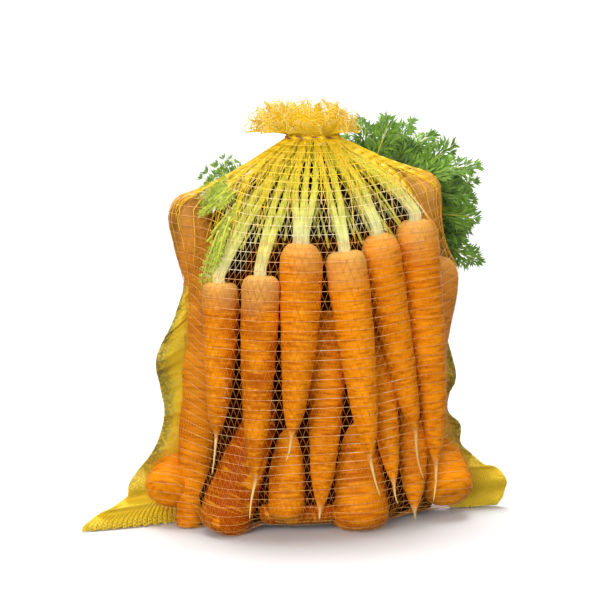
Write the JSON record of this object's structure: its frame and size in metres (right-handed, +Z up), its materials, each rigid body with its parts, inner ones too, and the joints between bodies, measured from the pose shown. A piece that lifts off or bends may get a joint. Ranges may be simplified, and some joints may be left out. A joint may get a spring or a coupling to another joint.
{
  "type": "mesh sack of carrots",
  "caption": "Upright knitted net sack filled with carrots, gathered and tied at the neck with a frilled mouth, seam flaps and corner tails, and leafy tops hanging out behind.",
  "frame": {"origin": "middle of the flat base that the sack stands on", "axes": "+Z up from the base to the tied neck; the side that the picture shows faces -Y, and +X is to its right"},
  "size_m": [0.3712, 0.2132, 0.3638],
  "materials": {
    "net_yarn": "yellow knitted polyethylene tape yarn, satin, a little translucent",
    "carrot_leaf": "fresh carrot leaf, dark green, satin",
    "carrot_skin": "washed carrot skin, orange with fine rings and dusty crowns, satin",
    "carrot_stalk": "pale yellow-green leaf stalk, satin"
  },
  "bodies": {
    "root": {"net_sack": "net_yarn", "carrot_greens": "carrot_leaf"}
  },
  "joints": []
}
